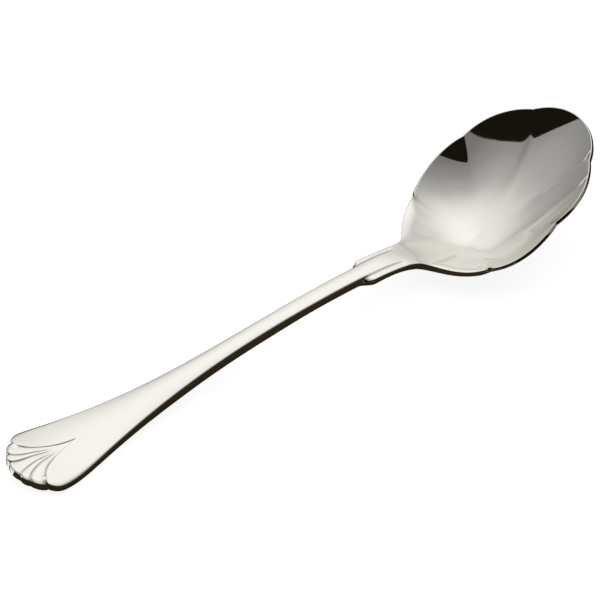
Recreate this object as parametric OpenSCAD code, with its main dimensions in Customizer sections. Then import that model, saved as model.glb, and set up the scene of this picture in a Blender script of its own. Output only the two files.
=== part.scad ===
// Sugar spoon with a scalloped, fluted bowl and a fan-ended handle.
// It lies as it rests on a table: +X runs from the fan to the tip of the bowl, +Z is up,
// and the origin is under the middle of its length.

/* [Handle] */
// Length from the end of the fan to the shoulders of the neck
handle_length = 87; // [78:0.1:105]
// Width of the blade at its widest, just before the fan
blade_width = 17.7; // [14:0.1:22]
// Width of the shank at its narrowest
shank_width = 3.7; // [3:0.1:5]
// Distance from the shoulders back to the narrowest place
waist_back = 13.5; // [8:0.5:24]
// Thickness at the edge of the blade
blade_edge = 2.15; // [1.6:0.05:2.6]
// Thickness at the edge of the shank
shank_edge = 2.7; // [2.1:0.05:3.4]
// Height that the top of the blade swells above its edges
blade_crown = 1.4; // [0.3:0.05:1.6]
// Height that the top of the shank swells above its edges
shank_crown = 0.35; // [0.1:0.05:0.6]
// Height that the handle climbs from the blade to the shoulders
handle_rise = 7.5; // [4:0.1:12]
// Height that the end of the handle curls up
end_curl = 1.9; // [0:0.1:3]
// Length of that curl
curl_length = 15.6; // [10:0.1:24]
// Radius of the blade's round corners beside the fan
blade_corner = 3.2; // [1.5:0.1:3.5]
// Angle that those corners turn through before they meet the fan
corner_turn = 65; // [55:1:90]
// Softening of the long edges
edge_round = 0.5; // [0.2:0.05:0.6]

/* [Fan] */
// Length of the fan from its point to its end
fan_length = 15.7; // [13:0.1:20]
// Half of the angle that the fan's end spans
fan_half_angle = 57; // [50:1:75]
// Depth that the fan lies below the blade along its two curved seams
fan_recess = 0.25; // [0.1:0.05:0.5]
// Height of each rib above the grooves beside it
rib_height = 0.35; // [0.15:0.05:0.6]
// Swell of the end's lobes beyond the notches between them
lobe_swell = 0.2; // [0.1:0.05:0.7]

/* [Neck] */
// Length from the shoulders to the heel of the bowl
neck_length = 14.9; // [11:0.1:22]
// Width across the shoulders
shoulder_width = 7.3; // [6:0.1:8]
// Height of the ridge above the shouldered plate
shoulder_step = 0.6; // [0.6:0.05:1]
// Height that the neck falls to the heel of the bowl
neck_drop = 1.85; // [1:0.05:3]
// Width at the heel of the bowl
heel_width = 8; // [7.6:0.1:9.5]
// Thickness at the heel of the bowl
heel_edge = 1.7; // [1.5:0.05:2.2]

/* [Bowl] */
// Length from the heel to the inner edge of the rim at the tip
bowl_length = 46.4; // [44:0.1:56]
// Distance from the heel to the middle of the flutes
flute_centre = 19.8; // [15:0.1:22]
// Height of the inside of the bowl at the middle of the flutes
floor_height = 2.05; // [1.9:0.05:3]
// Thickness of the bottom of the bowl
bowl_wall = 1.75; // [1:0.05:1.8]
// Thickness of the rim along the sides
rim_wall = 0.85; // [0.8:0.05:1.6]
// Thickness of the rim at the tip
tip_wall = 0.75; // [0.6:0.05:1.6]
// Steepness of the wall at the notches nearest the neck, as rise over run
wall_slope = 0.7; // [0.5:0.05:1.1]
// Steepness of the wall from the middle notches to the tip, as rise over run
tip_slope = 1.05; // [0.7:0.05:1.3]
// Width across the pair of notches nearest the neck
first_notch_width = 27; // [23:0.1:31]
// Width across the middle pair of notches
second_notch_width = 32.8; // [29:0.1:38]
// Width across the pair of notches nearest the tip
third_notch_width = 20.2; // [17:0.1:24]
// Height of the rim at the notches nearest the neck
first_notch_height = 7.1; // [6:0.1:9]
// Height of the rim at the middle notches
second_notch_height = 14.6; // [11:0.1:17]
// Height of the rim at the notches nearest the tip
third_notch_height = 20; // [16:0.1:22]
// Height of the rim at the tip
tip_height = 22.2; // [18:0.1:25]
// Swell of each side lobe beyond its notches
side_swell = 1.7; // [1:0.1:3]
// Swell of each front lobe beyond its notches
front_swell = 2.2; // [1:0.1:3]

/* [Hidden] */

// Stations along the spoon
rim_reach = tip_wall * sin(atan(tip_slope));
total_length = handle_length + neck_length + bowl_length + rim_reach;
x_end = -total_length / 2;
x_shoulder = x_end + handle_length;
x_heel = x_shoulder + neck_length;
x_tip = x_heel + bowl_length;
x_waist = x_shoulder - waist_back;
x_apex = x_end + fan_length;

// The fan's end is an arc that meets the blade's corners at the outer notches
notch_y = blade_width / 2 - blade_corner * (1 - cos(corner_turn));
fan_radius = notch_y / sin(fan_half_angle);
x_fan = x_end + fan_radius + lobe_swell;
x_notch = x_fan - fan_radius * cos(fan_half_angle);
x_wide = x_notch + blade_corner * sin(corner_turn);
x_split = x_apex + 5;

// Grooves between the five ribs, as shares of the fan's half angle
groove_inner = 0.27;
groove_outer = 0.57;
rib_steps = 6;

// Steps of the surfaces
shank_rows = 24;
split_rows = 12;
neck_rows = 16;
ring_count = 12;
lobe_steps = 11;
heel_steps = 4;
across = [0, 0.12, 0.25, 0.38, 0.5, 0.62, 0.74, 0.84, 0.9, 0.95, 0.98, 1];

steel = [0.8, 0.79, 0.77];

function mix(a, b, t) = a + (b - a) * t;
function ease(t) = let (s = min(1, max(0, t))) s * s * (3 - 2 * s);
function unit(v) = v / norm(v);
function reverse(list) = [for (i = [len(list) - 1:-1:0]) list[i]];
function hermite(a, b, slope_a, slope_b, t) =
    a * (1 + 2 * t) * pow(1 - t, 2) + slope_a * t * pow(1 - t, 2)
    + b * t * t * (3 - 2 * t) - slope_b * t * t * (1 - t);

// Handle: half width, height of its edge and thickness along its length
flare_power = 2.85;
function flare(s) = 1.2 * pow(s, flare_power) - 0.2 * pow(s, 6 * flare_power);
function along_blade(x) = min(1, max(0, (x_waist - x) / (x_waist - x_wide)));
function handle_half(x) = mix(shank_width, blade_width, flare(along_blade(x))) / 2;
function climb(x) = ease(pow(max(0, x - x_wide) / (x_shoulder - x_wide), 0.9));
function curl(x) = pow(max(0, 1 - (x - x_end) / curl_length), 2);
function bend(x) = handle_rise * climb(x) + end_curl * curl(x);
lowest_bend = min([for (i = [0:50]) bend(mix(x_end, x_waist, i / 50))]);
function edge_height(x) = blade_edge + bend(x) - lowest_bend;
function edge_thick(x) = mix(shank_edge, blade_edge, ease((along_blade(x) - 0.45) / 0.4));
function end_fade(x) = 1 - 0.8 * ease((x_wide - x) / (x_wide - x_end));
function crown(x) = mix(shank_crown, blade_crown, ease(along_blade(x))) * end_fade(x);
function top_height(x, y) = edge_height(x) + crown(x) * (1 - pow(y / handle_half(x), 2));
function under_height(x) = edge_height(x) - edge_thick(x);
function lip(v) = pow(max(0, v - 0.84) / 0.16, 3);
function foot(v) = 0.1 * v * v + 0.5 * pow(max(0, v - 0.9) / 0.1, 2);

// One closed ring round the bar: the far half from top to bottom, then the near half back up.
// upper and lower are half widths, the ledge between them lies under the upper one's edge.
function ledge(upper, lower, height, step) =
    [for (k = [0:3]) [mix(upper, lower, sin(30 * k)), height - step - 0.3 * (1 - cos(30 * k)) - 0.02 * k]];
function half_ring(upper, lower, height, swell, thick, step, soft) = concat(
    [for (v = across) [v * upper, height + swell * (1 - v * v) - soft * lip(v)]],
    ledge(upper, lower, height, step),
    [for (v = reverse(across)) [v * lower, height - thick + soft * foot(v)]]);
function both_sides(half) = concat(half, [for (i = [len(half) - 2:-1:1]) [half[i][0], -half[i][1], half[i][2]]]);
function at_x(x, points) = [for (p = points) [x, p[0], p[1]]];

// Rings of the shank and blade
function handle_ring(x) = let (w = handle_half(x))
    both_sides(at_x(x, half_ring(w, w, edge_height(x), crown(x), edge_thick(x), shoulder_step, edge_round)));

// Rings of the neck, from the shoulders (q = 0) to the heel (q = 1)
end_half = handle_half(x_shoulder);
function plate_half(q) = mix(end_half, shoulder_width / 2, ease((q - 0.04) / 0.22))
    + (heel_width - shoulder_width) / 2 * pow(q, 6);
function ridge_half(q) = end_half + (heel_width / 2 - end_half) * pow(q, 7);
neck_power = 2.75;
neck_slope = neck_power * neck_drop / neck_length;
heel_crown = 0.08;
function neck_ring(q) = both_sides(at_x(x_shoulder + neck_length * q, half_ring(
    ridge_half(q), plate_half(q),
    edge_height(x_shoulder) - neck_drop * pow(q, neck_power),
    mix(shank_crown, heel_crown, ease(q)),
    mix(shank_edge, heel_edge, ease(q)),
    shoulder_step * (1 - 0.8 * ease((q - 0.5) / 0.5)),
    mix(edge_round, 0.05, ease(2 * q - 1)))));

// Seam between the blade and the fan, from the fan's point (u = 0) to the notch (u = 1)
function spread(u) = 0.2 * u + 0.5 * u * u + 0.3 * pow(u, 12);
function seam(u) = [mix(x_apex, x_notch, u), notch_y * spread(u)];

// Outer edge of the blade from the split to the notch
function blade_rim(t) = t < 0.65
    ? let (x = mix(x_split, x_wide, t / 0.65)) [x, handle_half(x)]
    : let (a = corner_turn * (t - 0.65) / 0.35)
        [x_wide - blade_corner * sin(a), blade_width / 2 - blade_corner * (1 - cos(a))];

// Plan of the blade on each side of the fan, blended between its four edges
function blade_plan(t, v) =
    mix([mix(x_split, x_apex, t), 0], blade_rim(t), v)
    + mix([x_split, v * handle_half(x_split)], seam(v), t)
    - mix(mix([x_split, 0], [x_apex, 0], t), mix([x_split, handle_half(x_split)], seam(1), t), v);
function blade_half_ring(t) = concat(
    [for (v = across) let (p = blade_plan(t, v)) [p[0], p[1], top_height(p[0], p[1]) - edge_round * lip(v)]],
    [for (l = ledge(1, 1, 0, shoulder_step)) let (p = blade_rim(t)) [p[0], p[1], edge_height(p[0]) + l[1]]],
    [for (v = reverse(across)) let (p = blade_plan(t, v)) [p[0], p[1], under_height(p[0]) + edge_round * foot(v)]]);

// A bar lofted through rings of equal length, from low to high x, closed at both ends.
// The low end is flat, or where it is forked it is the two walls of the seam.
module loft(rings, forked = false) {
    n = len(rings[0]);
    half = n / 2;
    end = n * (len(rings) - 1);
    top_last = len(across) - 1;
    sides = [for (r = [0:len(rings) - 2], i = [0:n - 1])
        let (a = r * n + i, b = r * n + (i + 1) % n) each [[a, b, a + n], [b, b + n, a + n]]];
    far_wall = concat(
        [for (i = [0:top_last - 2]) each [[i, half - i, half - i - 1], [i, half - i - 1, i + 1]]],
        [for (k = [top_last:half - top_last]) [top_last - 1, k + 1, k]]);
    near_wall = [for (f = far_wall) [for (k = reverse(f)) (n - k) % n]];
    low_end = forked ? concat(far_wall, near_wall) : [[for (k = [n - 1:-1:0]) k]];
    polyhedron([for (r = rings) each r], concat(sides, low_end, [[for (k = [0:n - 1]) end + k]]));
}

// Fan: ribs across its angle, v from -1 to 1, and rows from its point, u, to its end
rib_edges = [-1, -groove_outer, -groove_inner, groove_inner, groove_outer, 1];
rib_list = concat(
    [for (k = [0:4], j = [0:rib_steps - 1]) [mix(rib_edges[k], rib_edges[k + 1], j / rib_steps), j / rib_steps]],
    [[1, 0]]);
function swell_at(t) = 4 * t * (1 - t);
function fan_end(v, t) = let (a = fan_half_angle * v, r = fan_radius + lobe_swell * swell_at(t))
    [x_fan - r * cos(a), r * sin(a)];
function fan_plan(u, v, t) = let (e = fan_end(v, t)) [mix(x_apex, e[0], u), spread(u) * e[1]];
function fan_top(u, v, t) = let (p = fan_plan(u, v, t))
    [p[0], p[1], top_height(p[0], p[1]) - fan_recess - edge_round * lip(u)
        + rib_height * swell_at(t) * ease((u - 0.15) / 0.6)];
function fan_under(u, v, t) = let (p = fan_plan(u, v, t)) [p[0], p[1], under_height(p[0]) + edge_round * foot(u)];

// Rim of the bowl in plan: arcs between notches, from the middle of the heel to the tip
notch_shares = [0.232, 0.585, 0.883];
first_notch = [x_heel + notch_shares[0] * bowl_length, first_notch_width / 2];
second_notch = [x_heel + notch_shares[1] * bowl_length, second_notch_width / 2];
third_notch = [x_heel + notch_shares[2] * bowl_length, third_notch_width / 2];
heel_corner = [x_heel, heel_width / 2];
function arc(p, q, swell, t) = let (
    c = norm(q - p) / 2,
    r = (c * c + swell * swell) / (2 * swell),
    a = 2 * atan(swell / c) * (2 * t - 1),
    d = unit(q - p))
    (p + q) / 2 + d * r * sin(a) + [-d[1], d[0]] * (r * cos(a) - r + swell);
function sweep(t) = let (
    b = heel_corner + [2.7, 1.35],
    c = first_notch - [5.8, 3])
    heel_corner * pow(1 - t, 3) + b * 3 * t * pow(1 - t, 2) + c * 3 * t * t * (1 - t) + first_notch * pow(t, 3);
tip_swell = x_tip - third_notch[0];
tip_other = [third_notch[0], -third_notch[1]];
steps = [for (k = [0:lobe_steps - 1]) k / lobe_steps];
// Each point of the plan with its share of the heel: 1 on the seat of the neck, 0 past the first notch
rim_plan = concat(
    [for (k = [0:heel_steps - 1]) [[x_heel, heel_width / 2 * k / heel_steps], 1]],
    [for (t = steps) [sweep(t), 1 - ease(t)]],
    [for (t = steps) [arc(first_notch, second_notch, side_swell, t), 0]],
    [for (t = steps) [arc(second_notch, third_notch, front_swell, t), 0]],
    [for (t = steps) [arc(third_notch, tip_other, tip_swell, t / 2), 0]],
    [[[x_tip, 0], 0]]);

// Height of the rim through the heel, the notches and the tip
heel_height = edge_height(x_shoulder) - neck_drop;
function rise(a, b, za, zb) = (zb - za) / (b - a);
rise_2 = rise(first_notch[0], second_notch[0], first_notch_height, second_notch_height);
rise_3 = rise(second_notch[0], third_notch[0], second_notch_height, third_notch_height);
rise_4 = rise(third_notch[0], x_tip, third_notch_height, tip_height);
function span(a, b, za, zb, sa, sb, x) = hermite(za, zb, sa * (b - a), sb * (b - a), (x - a) / (b - a));
function rim_height(x) =
    x < first_notch[0] ? span(x_heel, first_notch[0], heel_height, first_notch_height, -neck_slope, 0.8 * rise_2, x)
    : x < second_notch[0] ? span(first_notch[0], second_notch[0], first_notch_height, second_notch_height,
        0.8 * rise_2, (rise_2 + rise_3) / 2, x)
    : x < third_notch[0] ? span(second_notch[0], third_notch[0], second_notch_height, third_notch_height,
        (rise_2 + rise_3) / 2, (rise_3 + rise_4) / 2, x)
    : span(third_notch[0], x_tip, third_notch_height, tip_height, (rise_3 + rise_4) / 2, rise_4, x);

// Inside of the bowl: every flute line falls from the rim to the middle of the flutes
middle = [x_heel + flute_centre, 0];
floor_tilt = 0.6 * rise_2;
rim = let (half = [for (p = rim_plan) [p[0][0], p[0][1], p[1]]])
    concat(half, [for (i = [len(half) - 2:-1:1]) [half[i][0], -half[i][1], half[i][2]]]);
columns = len(rim);
function toward(x, from, to) = min(1, max(0, (x - from[0]) / (to[0] - from[0])));
function seat_crown(k) = rim[k][2] < 1 ? 0 : heel_crown * (1 - pow(2 * rim[k][1] / heel_width, 2));
function inside(s, k) = let (
    edge = [rim[k][0], rim[k][1]],
    run = edge - middle,
    p = middle + s * run,
    side = mix(wall_slope, tip_slope, toward(edge[0], first_notch, second_notch)),
    slope = mix(side, neck_slope, rim[k][2]),
    height = rim_height(edge[0]) + seat_crown(k))
    [p[0], p[1], hermite(floor_height, height, floor_tilt * run[0], slope * norm(run), s)];
inner = [for (i = [1:ring_count]) [for (k = [0:columns - 1]) inside(i / ring_count, k)]];
centre_in = [middle[0], middle[1], floor_height];
function inner_at(i, k) = i == 0 ? centre_in : inner[i - 1][(k + columns) % columns];
function upward(i, k) = unit(cross(
    inner_at(min(i + 1, ring_count), k) - inner_at(i - 1, k),
    inner_at(i, k - 1) - inner_at(i, k + 1)));
function outside(i, k) = let (
    s = i / ring_count,
    heel = rim[k][2] * s * s,
    lip_wall = mix(rim_wall, tip_wall, toward(rim[k][0], second_notch, third_notch)),
    wall = mix(mix(bowl_wall, lip_wall, s), heel_edge + seat_crown(k), heel))
    inner_at(i, k) - wall * unit(mix(upward(i, k), [0, 0, 1], heel));
outer = [for (i = [1:ring_count]) [for (k = [0:columns - 1]) outside(i, k)]];
centre_out = centre_in - bowl_wall * unit([-floor_tilt, 0, 1]);
function lip_point(k) = let (
    a = inner[ring_count - 1][k],
    b = outer[ring_count - 1][k],
    away = unit([a[0] - middle[0], a[1], 0]))
    (a + b) / 2 + away * 0.25 * norm(a - b) * (1 - rim[k][2]);

module bowl() {
    n = columns;
    base = 2 + n * ring_count;
    lip_base = base + n * ring_count;
    points = concat([centre_in, centre_out], [for (r = inner) each r], [for (r = outer) each r],
        [for (k = [0:n - 1]) lip_point(k)]);
    function next(k) = (k + 1) % n;
    function band(a, b) = [for (k = [0:n - 1]) each [[a + k, b + k, a + next(k)], [a + next(k), b + k, b + next(k)]]];
    inner_rim = 2 + n * (ring_count - 1);
    faces = concat(
        [for (k = [0:n - 1]) [0, 2 + k, 2 + next(k)]],
        [for (i = [0:ring_count - 2]) each band(2 + n * i, 2 + n * (i + 1))],
        band(inner_rim, lip_base),
        band(lip_base, base + n * (ring_count - 1)),
        [for (i = [0:ring_count - 2]) each band(base + n * (i + 1), base + n * i)],
        [for (k = [0:n - 1]) [1, base + next(k), base + k]]);
    color(steel) polyhedron(points, faces);
}

module neck() {
    color(steel) loft([for (i = [0:neck_rows]) neck_ring(i / neck_rows)]);
}

module handle() {
    straight = [for (i = [0:shank_rows - 1]) handle_ring(mix(x_shoulder, x_split, i / shank_rows))];
    split = [for (i = [0:split_rows]) both_sides(blade_half_ring(i / split_rows))];
    color(steel) loft(reverse(concat(straight, split)), true);
}

module fan_terminal() {
    m = len(rib_list);
    rows = len(across) - 1;
    tops = [for (i = [1:rows], r = rib_list) fan_top(across[i], r[0], r[1])];
    unders = [for (i = [1:rows], r = rib_list) fan_under(across[i], r[0], r[1])];
    points = concat([fan_top(0, 0, 0.5), fan_under(0, 0, 0.5)], tops, unders);
    low = 2 + rows * m;
    function top(i, j) = 2 + i * m + j;
    function under(i, j) = low + i * m + j;
    cells = [for (i = [0:rows - 2], j = [0:m - 2]) [i, j]];
    end = rows - 1;
    side = m - 1;
    point_faces = [for (j = [0:m - 2]) each [[0, top(0, j), top(0, j + 1)], [1, under(0, j + 1), under(0, j)]]];
    broad_faces = [for (c = cells) let (i = c[0], j = c[1]) each [
        [top(i, j), top(i + 1, j), top(i, j + 1)],
        [top(i, j + 1), top(i + 1, j), top(i + 1, j + 1)],
        [under(i, j), under(i, j + 1), under(i + 1, j)],
        [under(i, j + 1), under(i + 1, j + 1), under(i + 1, j)]]];
    end_faces = [for (j = [0:m - 2]) each [
        [top(end, j), under(end, j), top(end, j + 1)],
        [top(end, j + 1), under(end, j), under(end, j + 1)]]];
    seam_faces = [for (i = [0:rows - 2]) each [
        [top(i, 0), under(i, 0), top(i + 1, 0)],
        [top(i + 1, 0), under(i, 0), under(i + 1, 0)],
        [top(i, side), top(i + 1, side), under(i, side)],
        [top(i + 1, side), under(i + 1, side), under(i, side)]]];
    tip_faces = [
        [0, 1, top(0, 0)],
        [top(0, 0), 1, under(0, 0)],
        [0, top(0, side), 1],
        [top(0, side), under(0, side), 1]];
    faces = concat(point_faces, broad_faces, end_faces, seam_faces, tip_faces);
    color(steel) polyhedron(points, faces);
}

bowl();
neck();
handle();
fan_terminal();
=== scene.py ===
import math

import bpy
import numpy as np
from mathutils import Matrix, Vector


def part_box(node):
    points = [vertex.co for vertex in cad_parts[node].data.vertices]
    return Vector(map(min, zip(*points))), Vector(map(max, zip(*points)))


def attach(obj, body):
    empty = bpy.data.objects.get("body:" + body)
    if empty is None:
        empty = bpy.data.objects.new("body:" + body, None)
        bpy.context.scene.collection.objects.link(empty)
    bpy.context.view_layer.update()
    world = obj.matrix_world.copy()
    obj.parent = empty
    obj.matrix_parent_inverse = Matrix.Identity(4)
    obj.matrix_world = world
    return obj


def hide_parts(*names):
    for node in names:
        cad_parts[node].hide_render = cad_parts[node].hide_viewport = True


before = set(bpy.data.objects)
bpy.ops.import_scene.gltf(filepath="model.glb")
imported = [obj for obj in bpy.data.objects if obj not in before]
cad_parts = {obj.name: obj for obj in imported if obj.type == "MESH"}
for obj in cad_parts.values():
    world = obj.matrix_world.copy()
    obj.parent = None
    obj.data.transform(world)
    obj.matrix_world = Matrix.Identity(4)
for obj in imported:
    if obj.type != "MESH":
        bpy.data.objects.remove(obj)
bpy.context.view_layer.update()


# Handle: a bar of polished stainless steel, forged in one with the neck and the bowl. It is broad and
# gently crowned at the blade, where it divides round the fan, and narrows to a thick shank that climbs
# to the shoulders of the neck. Its edges are eased by polishing.
MM = 0.001
# Sizes of the spoon are in millimetres. A span is given by its start and its length.
CORNER = 3.2
CORNER_TURN = math.radians(65)
FAN_HALF_ANGLE = math.radians(57)
FAN_OPENING = (0.2, 0.5, 0.3)
FAN_FLICK_POWER = 12
LOBE_SWELL = 0.3
WAIST_BACK = 13.5
SPLIT_AHEAD = 5
STRAIGHT_SHARE = 0.65
SHANK_HALF = 1.85
FLARE_POWER = 2.85
FLARE_ROUND = 0.2
FLARE_ROUND_POWER = 6 * FLARE_POWER
HANDLE_RISE = 7.5
RISE_POWER = 0.9
END_CURL = 1.9
CURL_LENGTH = 15.6
BEND_SAMPLES = 50
SHANK_EDGE = 2.7
BLADE_EDGE = 2.15
THINNING = (0.45, 0.4)
SHANK_TAPER = 0.3
TAPERING = (-25, 16)
SHANK_CROWN = 0.35
BLADE_CROWN = 0.95
CROWN_FADE = 0.8
EDGE_SOFT = 0.45
UNDER_SOFT = 0.3
UNDER_CAMBER = 0.1
SEAM_SOFT = 0.14
SEAM_WIDTH = 0.35
PLATE_SOFT = 0.3
PLATE_LEAN = math.radians(4)
STEP_LEAN = math.radians(34)
STEP_FULL = 0.15
STEP_HOLLOW = 0.3
SHORT_RUN = 0.02
LEAST_OUTWARD = 0.1
GUARD = 0.03
TOP_STEPS = 18
ROUND_STEPS = 7
SLOPE_STEPS = 4
PLATE_STEPS = 5
UNDER_STEPS = 8
SHANK_ROWS = 110
SPLIT_ROWS = 60
SEAM_ROWS = (0.92, 0.935, 0.95, 0.96, 0.97, 0.98, 0.985, 0.989, 0.992, 0.995, 0.998, 1)
SEAM_SINKS = (0.15, 1)
JOIN_DISTANCE = 1e-6
SHARP_ANGLE = math.radians(40)


def box_mm(node):
    """Lowest and highest corner of a CAD node, in millimetres."""
    return [[value / MM for value in corner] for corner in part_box(node)]


fan_low, fan_high = box_mm("fan_terminal")
neck_low, neck_high = box_mm("neck")
end_x = fan_low[0]
point_x = fan_high[0]
split_x = point_x + SPLIT_AHEAD
shoulder_x = neck_low[0]
waist_x = shoulder_x - WAIST_BACK
blade_half = box_mm("handle")[1][1]
notch_y = blade_half - CORNER * (1 - math.cos(CORNER_TURN))
fan_radius = notch_y / math.sin(FAN_HALF_ANGLE)
fan_x = end_x + fan_radius + LOBE_SWELL
notch_x = fan_x - fan_radius * math.cos(FAN_HALF_ANGLE)
wide_x = notch_x + CORNER * math.sin(CORNER_TURN)


def mix(a, b, t):
    return a + (b - a) * t


def ease(t):
    s = min(1, max(0, t))
    return s * s * (3 - 2 * s)


def ease_over(t, span):
    """Eases from 0 to 1 while t goes through the span."""
    start, length = span
    return ease((t - start) / length)


def along_blade(x):
    return min(1, max(0, (waist_x - x) / (waist_x - wide_x)))


def handle_half(x):
    """Half width of the handle, which flares from the waist and rounds off before the corners."""
    s = along_blade(x)
    flare = (1 + FLARE_ROUND) * s ** FLARE_POWER - FLARE_ROUND * s ** FLARE_ROUND_POWER
    return mix(SHANK_HALF, blade_half, flare)


def bend(x):
    """Climb of the handle from the blade to the shoulders, with the curl of its end."""
    share = max(0, x - wide_x) / (shoulder_x - wide_x)
    curl = max(0, 1 - (x - end_x) / CURL_LENGTH)
    return HANDLE_RISE * ease(share ** RISE_POWER) + END_CURL * curl ** 2


lowest_bend = min(bend(mix(end_x, waist_x, i / BEND_SAMPLES)) for i in range(BEND_SAMPLES + 1))


def edge_height(x):
    return BLADE_EDGE + bend(x) - lowest_bend


def edge_thick(x):
    taper = SHANK_TAPER * ease_over(x - shoulder_x, TAPERING)
    return mix(SHANK_EDGE, BLADE_EDGE, ease_over(along_blade(x), THINNING)) - taper


def crown(x):
    fade = 1 - CROWN_FADE * ease((wide_x - x) / (wide_x - end_x))
    return mix(SHANK_CROWN, BLADE_CROWN, ease(along_blade(x))) * fade


def top_height(x, y):
    return edge_height(x) + crown(x) * (1 - (y / handle_half(x)) ** 2)


def bar_half(upper, height, swell, thick, soft, under_soft, step=0, outer=0, plate_soft=PLATE_SOFT, share=0,
             camber=UNDER_CAMBER):
    """Half a cross-section of the bar, from the middle of the top out and round to the middle below.

    upper is the half width of the top and soft the rounding of its edge. Where share is above 0 a step
    leads down to a plate that stands out to the half width outer, and at 0 the side is upright.
    """
    lean = math.atan(2 * swell / upper)
    fall = mix(math.pi / 2, mix(PLATE_LEAN, STEP_LEAN, min(1, step / STEP_FULL)), share)
    flat = mix(math.pi / 2, PLATE_LEAN, share)
    reach = upper - soft * (1 - math.sin(lean))
    points = []
    for i in range(TOP_STEPS + 1):
        y = reach * i / TOP_STEPS
        z = height + swell * (1 - (y / upper) ** 2)
        points.append((y, z))

    def turn_by(start, end, radius, steps):
        """Adds a rounding from one slope to another, outward where it steepens and hollow where it eases."""
        nonlocal y, z
        way = 1 if end >= start else -1
        y0, z0 = y, z
        for i in range(1, steps + 1):
            turn = mix(start, end, i / steps)
            y = y0 + way * radius * (math.sin(turn) - math.sin(start))
            z = z0 - way * radius * (math.cos(start) - math.cos(turn))
            points.append((y, z))

    def run_by(slope, length, steps):
        """Adds a straight run down a slope."""
        nonlocal y, z
        for i in range(steps):
            y += length / steps * math.cos(slope)
            z -= length / steps * math.sin(slope)
            points.append((y, z))

    turn_by(lean, fall, soft, ROUND_STEPS)
    run_by(fall, max(SHORT_RUN, step), SLOPE_STEPS)
    turn_by(fall, flat, STEP_HOLLOW, ROUND_STEPS)
    room = outer - y - plate_soft * (1 - math.sin(flat))
    run_by(flat, max(SHORT_RUN, room / max(LEAST_OUTWARD, math.cos(flat))), PLATE_STEPS)
    turn_by(flat, math.pi / 2, plate_soft, ROUND_STEPS)
    below = height - thick
    lower = y
    for i in range(ROUND_STEPS + 1):
        turn = math.pi / 2 * i / ROUND_STEPS
        points.append((lower - under_soft * (1 - math.cos(turn)),
                       below + camber + under_soft * (1 - math.sin(turn))))
    inner = lower - under_soft
    for i in range(1, UNDER_STEPS + 1):
        y = inner * (1 - i / UNDER_STEPS)
        points.append((y, below + camber * (y / inner) ** 2))
    return points


def both_sides(half):
    """The whole ring of a half cross-section of points in space, with the near half mirrored."""
    return half + [(x, -y, z) for x, y, z in half[-2:0:-1]]


def handle_section(x):
    return bar_half(handle_half(x), edge_height(x), crown(x), edge_thick(x), EDGE_SOFT, UNDER_SOFT)


def fan_opening(u):
    """Share of its full width that the fan has reached at share u from its point to its end."""
    straight, curved, flicked = FAN_OPENING
    return straight * u + curved * u * u + flicked * u ** FAN_FLICK_POWER


def seam(u):
    """Plan of the line between blade and fan, from the fan's point to the notch in the outline."""
    return mix(point_x, notch_x, u), notch_y * fan_opening(u)


def blade_rim(t):
    """Plan of the outer edge of the blade, from the split round the corner to the notch."""
    if t < STRAIGHT_SHARE:
        x = mix(split_x, wide_x, t / STRAIGHT_SHARE)
        return x, handle_half(x)
    turn = CORNER_TURN * (t - STRAIGHT_SHARE) / (1 - STRAIGHT_SHARE)
    return wide_x - CORNER * math.sin(turn), blade_half - CORNER * (1 - math.cos(turn))


split_half = handle_half(split_x)
split_section = handle_section(split_x)
top_count = TOP_STEPS + ROUND_STEPS + 1
under_start = top_count + SLOPE_STEPS + 2 * ROUND_STEPS + PLATE_STEPS


def blade_plan(t, v):
    """Plan of the blade beside the fan, blended between its four edges."""
    rim_x, rim_y = blade_rim(t)
    seam_x, seam_y = seam(v)
    x = (mix(mix(split_x, point_x, t), rim_x, v) + mix(split_x, seam_x, t)
         - mix(mix(split_x, point_x, t), mix(split_x, notch_x, t), v))
    y = v * rim_y + mix(v * split_half, seam_y, t) - v * mix(split_half, notch_y, t)
    return x, y


def blade_half_ring(t, sink=0):
    """Half a ring of the divided blade. sink closes the wall along the seam, from top to underside."""
    ring = []
    for i, (across, z) in enumerate(split_section):
        v = min(1, across / split_half)
        x, y = blade_plan(t, v)
        floor = edge_height(x) - edge_thick(x)
        if i < top_count:
            plain = edge_height(split_x) + crown(split_x) * (1 - v * v)
            height = top_height(x, y) + z - plain
            eased = SEAM_WIDTH / (split_x - seam(v)[0])
            height -= SEAM_SOFT * max(0, 1 - (1 - t) / eased) ** 2
        elif i < under_start:
            height = edge_height(x) + z - edge_height(split_x)
        else:
            height = floor + z - edge_height(split_x) + edge_thick(split_x)
        if sink and i < under_start:
            foot = floor + UNDER_CAMBER * v * v
            height = min(height, mix(height, foot, sink))
        ring.append((x, y, height))
    return ring


def formed_sheet(name, columns, rows, place):
    """A flat grid whose points are moved to place(column, row), in millimetres, like a formed blank."""
    bpy.ops.object.select_all(action="DESELECT")
    bpy.ops.mesh.primitive_grid_add(x_subdivisions=columns, y_subdivisions=rows, size=1)
    piece = bpy.context.object
    piece.name = name
    piece.data.name = name
    for point in piece.data.vertices:
        column = round((point.co.x + 0.5) * columns)
        row = round((point.co.y + 0.5) * rows)
        point.co = [MM * value for value in place(column, row)]
    return piece


def formed_rings(name, rings):
    """A sheet that is wrapped round a row of rings until its long edges meet."""
    size = len(rings[0])
    return formed_sheet(name, size, len(rings) - 1, lambda column, row: rings[row][column % size])


def close_piece():
    """Joins the meeting edges of the sheet just formed, fills its ends and smooths all but sharp edges."""
    bpy.ops.object.mode_set(mode="EDIT")
    bpy.ops.mesh.select_all(action="SELECT")
    bpy.ops.mesh.remove_doubles(threshold=JOIN_DISTANCE)
    bpy.ops.mesh.fill_holes(sides=0)
    bpy.ops.mesh.select_all(action="SELECT")
    bpy.ops.mesh.normals_make_consistent(inside=False)
    bpy.ops.object.mode_set(mode="OBJECT")
    bpy.ops.object.shade_smooth_by_angle(angle=SHARP_ANGLE)


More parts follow.
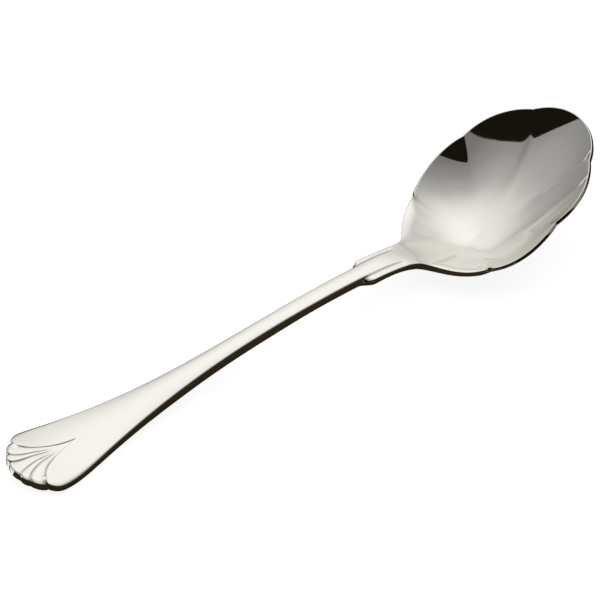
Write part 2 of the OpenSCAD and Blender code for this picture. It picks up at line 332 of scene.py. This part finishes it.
class Wire:
    """One socket of a node tree, so that shader maths reads as sums."""

    def __init__(self, tree, socket=None):
        self.tree = tree
        self.socket = socket

    def node(self, kind, settings=None, inputs=None, out=0):
        """Adds a node, makes its settings, fills or links its sockets and gives one output."""
        made = self.tree.nodes.new(kind)
        for name, value in (settings or {}).items():
            if name == "stops":
                ramp = made.color_ramp.elements
                while len(ramp) < len(value):
                    ramp.new(1)
                for element, (place, colour) in zip(ramp, value):
                    element.position = place
                    element.color = colour
            else:
                setattr(made, name, value)
        for name, value in (inputs or {}).items():
            if isinstance(value, Wire):
                self.tree.links.new(value.socket, made.inputs[name])
            else:
                made.inputs[name].default_value = value
        return Wire(self.tree, made.outputs[out] if made.outputs else None)

    def math(self, operation, first, second):
        return self.node("ShaderNodeMath", {"operation": operation}, {0: first, 1: second})

    def __add__(self, other):
        return self.math("ADD", self, other)

    def __radd__(self, other):
        return self.math("ADD", other, self)

    def __mul__(self, other):
        return self.math("MULTIPLY", self, other)

    def __rmul__(self, other):
        return self.math("MULTIPLY", other, self)


def bare_tree(owner):
    """Empties the node tree of a material or a world and gives a Wire to fill it with."""
    owner.use_nodes = True
    owner.node_tree.nodes.clear()
    return Wire(owner.node_tree)


BUFFING_SCALE = (60, 2600, 2600)
BUFFING_STRENGTH = 0.02
BUFFING_DEPTH = 0.00002
HAZE_SCALE = 90.0
STEEL_DULL = (0.763, 0.744, 0.711, 1)
STEEL_BRIGHT = (0.803, 0.784, 0.751, 1)
POLISH = 0.01
HAZE_ROUGHNESS = 0.03
BUFFING_ROUGHNESS = 0.02


def polished_steel():
    """Mirror-polished stainless steel with faint buffing lines along its length and a light haze."""
    material = bpy.data.materials.new("polished_steel")
    start = bare_tree(material)
    place = start.node("ShaderNodeTexCoord", out="Object")
    lengthwise = start.node("ShaderNodeMapping", {}, {"Vector": place, "Scale": BUFFING_SCALE})
    buffing = start.node("ShaderNodeTexNoise", {}, {"Vector": lengthwise, "Scale": 1.0, "Detail": 3.0})
    haze = start.node("ShaderNodeTexNoise", {}, {"Vector": place, "Scale": HAZE_SCALE, "Detail": 4.0})
    tone = start.node("ShaderNodeMix", {"data_type": "RGBA"},
                      {0: haze, 6: STEEL_DULL, 7: STEEL_BRIGHT}, out=2)
    rough = POLISH + HAZE_ROUGHNESS * haze + BUFFING_ROUGHNESS * buffing
    lines = start.node("ShaderNodeBump", {},
                       {"Strength": BUFFING_STRENGTH, "Distance": BUFFING_DEPTH, "Height": buffing})
    metal = start.node("ShaderNodeBsdfPrincipled", {},
                       {"Base Color": tone, "Metallic": 1.0, "Roughness": rough, "Normal": lines})
    start.node("ShaderNodeOutputMaterial", {}, {"Surface": metal})
    return material


steel = polished_steel()


def hand_over(piece, node):
    """Gives the piece its finish and its body, and hides the CAD node that it stands for."""
    piece.data.materials.append(steel)
    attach(piece, "root")
    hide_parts(node)


shank_xs = [shoulder_x, shoulder_x - GUARD]
shank_xs += [mix(shoulder_x, split_x, i / SHANK_ROWS) for i in range(1, SHANK_ROWS)]
handle_rings = [both_sides([(x, y, z) for y, z in handle_section(x)]) for x in shank_xs]
split_steps = [i / SPLIT_ROWS * SEAM_ROWS[0] for i in range(SPLIT_ROWS)]
handle_rings += [both_sides(blade_half_ring(t)) for t in (*split_steps, *SEAM_ROWS)]
handle_rings += [both_sides(blade_half_ring(1, sink)) for sink in SEAM_SINKS]
handle = formed_rings("handle_bar", handle_rings)
close_piece()
hand_over(handle, "handle")


# Neck: the same bar forged on from the shank. Two flat shoulders spring out on either side and run along
# under a raised ridge, which spreads at the heel until it is as wide as they are and flows into the bowl.
SHOULDER_HALF = 3.45
SHOULDER_STEP = 0.5
SHOULDER_LIFT = 0.2
SHOULDER_FLARE = (0.01, 0.24)
STEP_FADE = (0.5, 0.45)
LIFT_FADE = (0.3, 0.6)
RIDGE_GAIN = 1.1
RIDGE_POWER = 6
RIDGE_SOFT = 0.22
RIDGE_SHARPENING = (0, 0.3)
HEEL_HALF = 3.85
HEEL_POWER = 9
HEEL_EDGE = 1.85
HEEL_CROWN = 0.08
HEEL_SOFT = 0.02
UNDER_SHARPENING = (0.6, 0.4)
PLATE_SHARPENING = (0.7, 0.3)
LEVELLING = (0.75, 0.25)
NECK_DROP = 1.95
NECK_POWER = 4.2
NECK_RUN = (NECK_POWER + 1) / 2
NECK_ROWS = 110
heel_x = neck_high[0]
neck_length = heel_x - shoulder_x


def neck_fall(q):
    """Share of the neck's drop, which steepens from the shoulders and runs out straight at the heel."""
    return NECK_RUN * q ** NECK_POWER - (NECK_RUN - 1) * q ** (NECK_POWER + 1)


def neck_section(q):
    """Half a cross-section of the neck, from the shoulders at 0 to the heel at 1."""
    height = edge_height(shoulder_x) - NECK_DROP * neck_fall(q)
    swell = mix(SHANK_CROWN, HEEL_CROWN, ease(q))
    thick = mix(edge_thick(shoulder_x), HEEL_EDGE, ease(q))
    share = ease_over(q, SHOULDER_FLARE)
    step = SHOULDER_STEP * share * (1 - ease_over(q, STEP_FADE))
    ridge = SHANK_HALF + RIDGE_GAIN * q ** RIDGE_POWER
    outer = mix(SHANK_HALF, SHOULDER_HALF, share) + (HEEL_HALF - SHOULDER_HALF) * q ** HEEL_POWER
    soft = mix(EDGE_SOFT, RIDGE_SOFT, ease_over(q, RIDGE_SHARPENING))
    under_soft = mix(UNDER_SOFT, HEEL_SOFT, ease_over(q, UNDER_SHARPENING))
    plate_soft = mix(PLATE_SOFT, HEEL_SOFT, ease_over(q, PLATE_SHARPENING))
    camber = mix(UNDER_CAMBER, SHOULDER_LIFT, share * (1 - ease_over(q, LIFT_FADE)))
    half = bar_half(ridge, height, swell, thick, soft, under_soft, step, outer, plate_soft, share, camber)
    level = ease_over(q, LEVELLING)
    for i in range(under_start - ROUND_STEPS):
        y, z = half[i]
        half[i] = y, mix(z, height + swell * (1 - (y / outer) ** 2), level)
    return half


guard_step = GUARD / neck_length
neck_steps = [0, guard_step, *(i / NECK_ROWS for i in range(1, NECK_ROWS)), 1 - guard_step, 1]
neck_rings = [both_sides([(shoulder_x + neck_length * q, y, z) for y, z in neck_section(q)])
              for q in neck_steps]
neck = formed_rings("neck_ridge", neck_rings)
close_piece()
hand_over(neck, "neck")


# Bowl: a shell of the same steel, pressed to a scalloped outline and forged on at the heel of the neck.
# Three pairs of notches part its lobes, and the creases between the flutes run in from the notches and
# fade towards the middle of the floor.
# Each notch is given by its share of the bowl's length, its half width and its height.
NOTCHES = ((0.252, 13.85, 7.4), (0.585, 16.4, 14.65), (0.89, 9.85, 20.1))
TIP_HEIGHT = 22.2
LOBE_DIP = 0.5
SWEEP_CLIMB = 0.9
SWEEP_OUT = (2.5, 0.5)
SWEEP_IN = (6.95, 3.1)
SIDE_SWELL = 2.0
FRONT_SWELL = 2.2
NICK_DEPTH = 0.42
NICK_WIDTH = 0.45
NICK_OUTSIDE = 0.3
NICK_POWER = 26
FLOOR_HEIGHT = 2.05
FLOOR_TILT = 0.655
FLUTE_CENTRE = 18.62
# Fills and turns are given at the three notches and the tip.
FLOOR_FILLS = (0.06, 0.06, 0.33, 0.33)
FLUTE_TURNS = (0, 5, 13.9, 9)
# Slopes of the wall at the first notch, the side lobe, the second notch, the front lobe, the third notch,
# the corner of the tip and the tip.
WALL_SLOPES = (0.667, 0.955, 1.37, 1.17, 0.93, 1.29, 1.095)
LAND_WIDTH = 2.4
LAND_START = (0.15, 0.3)
LAND_END = 0.2
LEAST_LAND = 0.01
CREASE_SPREAD = 12
CREASE_POWER = 1.7
TIP_SPREAD = 17
TIP_POWER = 4
FLOOR_SPREAD = 73
FLOOR_POWER = 6
NORMAL_SPREAD = 4
SWEEP_WALL = 1.25
RIM_WALL = 0.85
FRONT_WALL = 0.95
TIP_WALL = 1.05
FLOOR_WALL = 1.75
WALL_CHANGE = (-2, 1)
LIP_SETS = (0.22, 0.36)
LIP_CHANGE = (-2, 2)
LIP_POWER = 6
LIP_SOFT = 0.2
LIP_GUARD = 0.04
HEEL_COLUMNS = 14
SWEEP_COLUMNS = 44
LOBE_COLUMNS = 54
TIP_COLUMNS = 44
TIP_CORNER_COLUMNS = 2
INSIDE_RINGS = 70
OUTSIDE_RINGS = 30
LIP_STEPS = 5
tip_x = box_mm("bowl")[1][0] - TIP_WALL * math.sin(math.atan(WALL_SLOPES[-1]))
bowl_length = tip_x - heel_x
first_notch, second_notch, third_notch = [
    np.array([heel_x + share * bowl_length, half_width]) for share, half_width, height in NOTCHES]


def arc(p, q, swell, t):
    """A point on the arc from p to q that stands out by swell in its middle."""
    chord = np.linalg.norm(q - p) / 2
    radius = (chord ** 2 + swell ** 2) / (2 * swell)
    turn = 2 * math.atan(swell / chord) * (2 * t - 1)
    way = (q - p) / (2 * chord)
    out = np.array([-way[1], way[0]])
    return (p + q) / 2 + way * radius * math.sin(turn) + out * (radius * math.cos(turn) - radius + swell)


def sweep(t):
    """The rim from the corner of the heel to the first notch."""
    start = np.array([heel_x, HEEL_HALF])
    guides = start, start + SWEEP_OUT, first_notch - SWEEP_IN, first_notch
    pulls = (1 - t) ** 3, 3 * t * (1 - t) ** 2, 3 * t * t * (1 - t), t ** 3
    return sum(guide * pull for guide, pull in zip(guides, pulls))


def shares(count):
    return [i / count for i in range(count)]


def rim_half():
    """Each column of half the rim: its place in plan, its share of the heel and of the land beside it."""
    half = [(np.array([heel_x, HEEL_HALF * t]), 1, 0) for t in shares(HEEL_COLUMNS)]
    half += [(sweep(t), 1 - ease(t), ease_over(t, LAND_START) * ease((1 - t) / LAND_END))
             for t in shares(SWEEP_COLUMNS)]
    half += [(arc(first_notch, second_notch, SIDE_SWELL, t), 0, 0) for t in shares(LOBE_COLUMNS)]
    half += [(arc(second_notch, third_notch, FRONT_SWELL, t), 0, 0) for t in shares(LOBE_COLUMNS)]
    tip_swell = tip_x - third_notch[0]
    half += [(arc(third_notch, third_notch * [1, -1], tip_swell, t / 2), 0, 0) for t in shares(TIP_COLUMNS)]
    half.append((np.array([tip_x, 0]), 0, 0))
    return half


half_rim = rim_half()
rim = half_rim + [(p * [1, -1], *rest) for p, *rest in half_rim[-2:0:-1]]
rim_plan = np.array([entry[0] for entry in rim])
heel_share = np.array([entry[1] for entry in rim], float)
land_share = np.array([entry[2] for entry in rim], float)
columns = len(rim)


def hermite(a, b, slope_a, slope_b, t):
    """A smooth climb from a to b that starts and ends with the slopes given."""
    return (a * (1 + 2 * t) * (1 - t) ** 2 + slope_a * t * (1 - t) ** 2
            + b * t * t * (3 - 2 * t) - slope_b * t * t * (1 - t))


neck_slope = NECK_RUN * NECK_DROP / neck_length
stations = [heel_x, first_notch[0], second_notch[0], third_notch[0], tip_x]
heights = [edge_height(shoulder_x) - NECK_DROP, *(notch[2] for notch in NOTCHES), TIP_HEIGHT]
rises = [(heights[i + 1] - heights[i]) / (stations[i + 1] - stations[i]) for i in range(4)]
second_slope = (rises[1] + rises[2]) / 2
third_slope = (rises[2] + rises[3]) / 2
starts = [-neck_slope, LOBE_DIP * rises[1], second_slope, third_slope]
ends = [SWEEP_CLIMB * rises[1], second_slope, third_slope, rises[3]]


def rim_height(x):
    """Height of the rim through the heel, the notches and the tip."""
    i = max(k for k in range(4) if k == 0 or x >= stations[k])
    length = stations[i + 1] - stations[i]
    share = (x - stations[i]) / length
    return hermite(heights[i], heights[i + 1], starts[i] * length, ends[i] * length, share)


middle = np.array([heel_x + FLUTE_CENTRE, 0])
floor_tilt = FLOOR_TILT * rises[1]
seat_crown = np.where(heel_share >= 1, HEEL_CROWN * (1 - (rim_plan[:, 1] / HEEL_HALF) ** 2), 0)
rim_z = np.array([rim_height(x) for x in rim_plan[:, 0]]) + seat_crown
slope_places = np.cumsum([HEEL_COLUMNS, SWEEP_COLUMNS, *[LOBE_COLUMNS / 2] * 4,
                          TIP_CORNER_COLUMNS, TIP_COLUMNS - TIP_CORNER_COLUMNS])
half_slope = np.interp(range(len(half_rim)), slope_places, (neck_slope, *WALL_SLOPES))
rim_slope = np.concatenate([half_slope, half_slope[-2:0:-1]])
wall_top = rim_z + rim_slope * LAND_WIDTH * land_share / 2


def ring_of(plan, z, slope, land, turn, fill, s):
    """One ring of the inside at share s of the way to the rim, for a rim of that plan, height and slope.

    land is the width of the flat beside the sweep, turn swings the ends of the flutes at the tip round, so
    that they meet the rim more squarely, and fill is the height by which the wall stands in half way up.
    """
    run = plan - middle
    length = np.hypot(run[:, 0] - turn, run[:, 1])
    height = hermite(FLOOR_HEIGHT, z, floor_tilt * (run[:, 0] + turn), slope * length, s)
    height = height + fill * (4 * s * (1 - s)) ** 2
    over = np.maximum(0, s * length - (length - land))
    flattened = slope * over ** 2 / (2 * np.maximum(land, LEAST_LAND))
    height = height - np.where(land > LEAST_LAND, flattened, 0)
    swing = np.column_stack([turn * s * (1 - s), 0 * turn])
    return np.column_stack([middle + s * run + swing, height])


notch_columns = np.cumsum([HEEL_COLUMNS + SWEEP_COLUMNS, LOBE_COLUMNS, LOBE_COLUMNS, TIP_COLUMNS])


def round_rim(values):
    """A value for each column of the rim, easing from one notch to the next and on to the tip."""
    half = []
    for i in range(len(half_rim)):
        k = max([k for k in range(3) if i >= notch_columns[k]], default=0)
        share = (i - notch_columns[k]) / (notch_columns[k + 1] - notch_columns[k])
        half.append(mix(values[k], values[k + 1], ease(share)))
    return np.array(half + half[-2:0:-1])


def softened(values, spread):
    """Values round the rim, each blended with its neighbours over about that many columns."""
    fall = np.exp(-2 * (math.pi * spread * np.fft.rfftfreq(columns)) ** 2)
    return np.fft.irfft((np.fft.rfft(values, axis=0).T * fall).T, columns, axis=0)


third_share = round_rim((0, 0, 1, 0))


def flute_soft(values, spread, more):
    """Values round the rim, softened by more beside the third notch, whose crease is the softest."""
    share = third_share if values.ndim == 1 else third_share[:, None]
    return mix(softened(values, spread), softened(values, spread + more), share)


rim_values = (rim_plan, wall_top, rim_slope, LAND_WIDTH * land_share, round_rim(FLUTE_TURNS),
              round_rim(FLOOR_FILLS) * (1 - heel_share))
from_notch = np.hypot(rim_plan[:, 0] - first_notch[0], np.abs(rim_plan[:, 1]) - first_notch[1])
nick = np.sign(rim_plan[:, 1]) * NICK_DEPTH * np.exp(-(from_notch / NICK_WIDTH) ** 2)
inside = [np.tile([*middle, FLOOR_HEIGHT], (columns, 1))]
for i in range(1, INSIDE_RINGS + 1):
    s = i / INSIDE_RINGS
    spread = CREASE_SPREAD * (1 - s) ** CREASE_POWER + FLOOR_SPREAD * (1 - s) ** FLOOR_POWER
    more = TIP_SPREAD * (1 - s) * s ** TIP_POWER
    inside.append(ring_of(*(flute_soft(values, spread, more) for values in rim_values), s))
    inside[i][:, 1] -= nick * s ** NICK_POWER
inside = np.array(inside)


def upward(grid):
    """Unit normals of a polar grid of rings, pointing up out of the bowl."""
    outward = np.gradient(grid, axis=0)
    sideways = (np.roll(grid, -1, 1) - np.roll(grid, 1, 1)) / 2
    normal = np.cross(outward, sideways)
    normal /= np.maximum(1e-9, np.linalg.norm(normal, axis=2, keepdims=True))
    return np.where(normal[..., 2:] < 0, -normal, normal)


normals = upward(inside)
normals[0] = np.array([-floor_tilt, 0, 1]) / math.hypot(floor_tilt, 1)
wall_way = np.array([softened(ring, NORMAL_SPREAD) for ring in normals])
ring_share = np.linspace(0, 1, INSIDE_RINGS + 1)[:, None]
seat = heel_share * ring_share ** 2
lip_set = np.interp(rim_plan[:, 0], second_notch[0] + np.array(LIP_CHANGE), LIP_SETS)
upright = np.maximum(seat, lip_set * ring_share ** LIP_POWER)
wall_way = mix(wall_way, np.array([0, 0, 1]), upright[..., None])
wall_way /= np.linalg.norm(wall_way, axis=2, keepdims=True)
wall_places = [*(first_notch[0] + np.array(WALL_CHANGE)), second_notch[0], third_notch[0]]
rim_wall = np.interp(rim_plan[:, 0], wall_places, (SWEEP_WALL, RIM_WALL, FRONT_WALL, TIP_WALL))
wall = mix(mix(FLOOR_WALL, rim_wall, ring_share), HEEL_EDGE + seat_crown, seat)
outside = inside - wall[..., None] * wall_way
outside[..., 1] += (1 - NICK_OUTSIDE) * nick * ring_share ** NICK_POWER
inner_edge = inside[-1]
outer_edge = outside[-1]
across = wall_way[-1]
climb = inside[-1] - inside[-2]
climb /= np.linalg.norm(climb, axis=1, keepdims=True)
soft = (LIP_SOFT * (1 - heel_share))[:, None]
lip_turns = [math.pi / 2 * i / LIP_STEPS for i in range(LIP_STEPS + 1)]
bowl_rings = [*inside[:-1], inner_edge - (soft + LIP_GUARD) * climb]
bowl_rings += [inner_edge - soft * climb * (1 - math.sin(turn)) - soft * across * (1 - math.cos(turn))
               for turn in lip_turns]
bowl_rings += [outer_edge + soft * across * (1 - math.sin(turn)) - soft * climb * (1 - math.cos(turn))
               for turn in lip_turns]
bowl_rings += [outside[round(INSIDE_RINGS * (1 - i / OUTSIDE_RINGS))] for i in range(1, OUTSIDE_RINGS + 1)]
bowl = formed_rings("bowl_shell", bowl_rings)
close_piece()
hand_over(bowl, "bowl")


# Fan: the ornament at the end of the handle, struck into the blade with the rest of the spoon. Five ribs
# spread from its point to a lobed end, a broad one in the middle and at each side and a slim one between.
# A small bead stands in each corner of it, beside the notch.
GROOVES = (-1, -0.57, -0.27, 0.27, 0.57, 1)
FAN_RECESS = 0.25
FAN_SOFT = 0.4
FAN_ROUNDING = (0.955, 0.045)
RIB_HEIGHT = 0.3
RIB_FLATNESS = 5
RIB_RISE = (0.3, 0.45)
BEAD_HEIGHT = 0.6
BEAD_RADIUS = 0.95
BEAD_FROM_NOTCH = (0.1, 1.15)
RIB_STEPS = 16
FAN_ROWS = 60
FAN_UNDER_ROWS = 10
rib_columns = [(mix(left, right, t), t)
               for left, right in zip(GROOVES, GROOVES[1:]) for t in shares(RIB_STEPS)]
rib_columns.append((1, 0))


def fan_plan(u, v, t):
    """Plan of the fan at share u from its point to its end, share v of its angle and t across the rib."""
    radius = fan_radius + LOBE_SWELL * 4 * t * (1 - t)
    end = fan_x - radius * math.cos(FAN_HALF_ANGLE * v), radius * math.sin(FAN_HALF_ANGLE * v)
    return mix(point_x, end[0], u), fan_opening(u) * end[1]


def fan_top(u, v, t):
    x, y = fan_plan(u, v, t)
    rib = RIB_HEIGHT * (1 - abs(2 * t - 1) ** RIB_FLATNESS) * ease_over(u, RIB_RISE)
    bead_x, bead_y = notch_x + BEAD_FROM_NOTCH[0], notch_y - BEAD_FROM_NOTCH[1]
    off = math.hypot(x - bead_x, abs(y) - bead_y) / BEAD_RADIUS
    bead = BEAD_HEIGHT * math.sqrt(max(0, 1 - off * off))
    return x, y, top_height(x, y) - FAN_RECESS + max(rib, bead)


def fan_under(u, v, t):
    x, y = fan_plan(u, v, t)
    return x, y, edge_height(x) - edge_thick(x) + UNDER_CAMBER * u * u


def fan_point(column, row):
    """A point of the sheet that wraps the fan: its top from the point out, its end, its underside back."""
    v, t = rib_columns[min(len(rib_columns) - 1, max(0, column - 1))]
    if row <= FAN_ROWS:
        u = row / FAN_ROWS
        near_end = max(0, (u - FAN_ROUNDING[0]) / FAN_ROUNDING[1])
        x, y, z = fan_top(u, v, t)
        z -= FAN_SOFT * (1 - math.sqrt(max(0, 1 - near_end ** 2)))
    else:
        u = 1 - (row - FAN_ROWS - 1) / FAN_UNDER_ROWS
        x, y, z = fan_under(u, v, t)
    if column in (0, len(rib_columns) + 1):
        z = fan_under(u, v, t)[2]
    return x, y, z


fan = formed_sheet("fan_end", len(rib_columns) + 1, FAN_ROWS + FAN_UNDER_ROWS + 1, fan_point)
close_piece()
hand_over(fan, "fan_terminal")


# Table: a plain white sheet of paper, laid flat under the spoon. It is lit enough to read as white and
# still take the spoon's shadow. Its size and those of the cards are in metres.
TABLE_SIZE = 8
PAPER_TONE = (0.3, 0.3, 0.3, 1)
PAPER_GLOW = 0.88
WHITE = (1, 1, 1, 1)
bpy.ops.object.select_all(action="DESELECT")
bpy.ops.mesh.primitive_plane_add(size=TABLE_SIZE)
table = bpy.context.object
table.name = "white_table"
paper = bpy.data.materials.new("white_paper")
sheet = bare_tree(paper)
matt = sheet.node("ShaderNodeBsdfDiffuse", {}, {"Color": PAPER_TONE})
glow = sheet.node("ShaderNodeEmission", {}, {"Color": WHITE, "Strength": PAPER_GLOW})
lit = sheet.node("ShaderNodeAddShader", {}, {0: matt, 1: glow})
sheet.node("ShaderNodeOutputMaterial", {}, {"Surface": lit})
table.data.materials.append(paper)


# Black cards: two sheets of black felt that lie on the table round the spoon, out of the camera's sight,
# and darken the edges that face them. The corner beyond the fan is left white.
# Each card is given by its lowest and highest x and its lowest and highest y.
CARDS = ((-0.0745, 1.5, -0.6, 0.6), (-0.8, -0.0745, -0.6, 0.0014))
CARD_HEIGHT = 0.0002
FELT_TONE = (0.058, 0.043, 0.022, 1)
black = bpy.data.materials.new("black_felt")
felt = bare_tree(black)
dark = felt.node("ShaderNodeBsdfDiffuse", {}, {"Color": FELT_TONE})
felt.node("ShaderNodeOutputMaterial", {}, {"Surface": dark})
for low_x, high_x, low_y, high_y in CARDS:
    card_middle = (low_x + high_x) / 2, (low_y + high_y) / 2, CARD_HEIGHT
    bpy.ops.object.select_all(action="DESELECT")
    bpy.ops.mesh.primitive_plane_add(size=1, location=card_middle)
    card = bpy.context.object
    card.name = "black_card"
    card.scale = (high_x - low_x, high_y - low_y, 1)
    bpy.ops.object.transform_apply(location=True, rotation=True, scale=True)
    card.visible_camera = False
    card.visible_diffuse = False
    card.visible_shadow = False
    card.data.materials.append(black)


# Light: a white tent over the table, brightest above and behind, open on the camera's side. The dark room
# shows in the steel through the opening, with a sharp upper edge.
TENT_TOP = (0.286, 0.392, 0.874)
TENT_TINT = (1.004, 1, 0.983)
# Brightness of the tent by how far a direction agrees with its top.
TENT_LEVELS = ((0.0, 0.2), (0.2, 0.235), (0.3, 0.296), (0.4, 0.35), (0.48, 0.431), (0.56, 0.494),
               (0.64, 0.611), (0.72, 0.786), (0.8, 0.93), (0.88, 1.04), (0.94, 1.12), (1.0, 1.19))
ROOM_TOP = (0.582, 0.314, 0.75)
ROOM_HEIGHT = 0.058
ROOM_FRONT = (-0.662, -0.75, 0)
ROOM_TONE = (0.01, 0.008, 0.005, 1)
world = bpy.data.worlds.new("light_tent")
bpy.context.scene.world = world
tent = bare_tree(world)
toward = tent.node("ShaderNodeTexCoord", out="Generated")
axes = [tent.node("ShaderNodeSeparateXYZ", {}, {0: toward}, out=i) for i in range(3)]


def facing(way):
    """How far the direction looked in agrees with another."""
    return sum(axis * part for axis, part in zip(axes, way))


tent_stops = [(place, (*(level * part for part in TENT_TINT), 1)) for place, level in TENT_LEVELS]
dome = tent.node("ShaderNodeValToRGB", {"stops": tent_stops}, {0: facing(TENT_TOP)})
below_top = tent.math("LESS_THAN", facing(ROOM_TOP), ROOM_HEIGHT)
in_front = tent.math("GREATER_THAN", facing(ROOM_FRONT), 0.0)
around = tent.node("ShaderNodeMix", {"data_type": "RGBA"},
                   {0: below_top * in_front, 6: dome, 7: ROOM_TONE}, out=2)
seen = tent.node("ShaderNodeLightPath", out="Is Camera Ray")
colour = tent.node("ShaderNodeMix", {"data_type": "RGBA"}, {0: seen, 6: around, 7: WHITE}, out=2)
sky = tent.node("ShaderNodeBackground", {}, {"Color": colour, "Strength": 1.0})
tent.node("ShaderNodeOutputWorld", {}, {"Surface": sky})


# Camera: a long lens looking down along the spoon from its fan end, as in the photograph. It stands almost
# a metre away, so that the two sides of the spoon stay nearly parallel.
ELEVATION = math.radians(46)
BEARING = math.radians(35.5)
AIM = (-1.17, 0, 10.1)
DISTANCE = 957.4
SENSOR_WIDTH = 36
LENS = 270
CLIP_END = 20
away = (-math.cos(ELEVATION) * math.sin(BEARING), -math.cos(ELEVATION) * math.cos(BEARING),
        math.sin(ELEVATION))
spot = [MM * (a + DISTANCE * d) for a, d in zip(AIM, away)]
bpy.ops.object.camera_add(location=spot, rotation=(math.pi / 2 - ELEVATION, 0, -BEARING))
camera = bpy.context.object
camera.data.sensor_width = SENSOR_WIDTH
camera.data.lens = LENS
camera.data.clip_end = CLIP_END
bpy.context.scene.camera = camera
bpy.context.scene.view_settings.view_transform = "Standard"
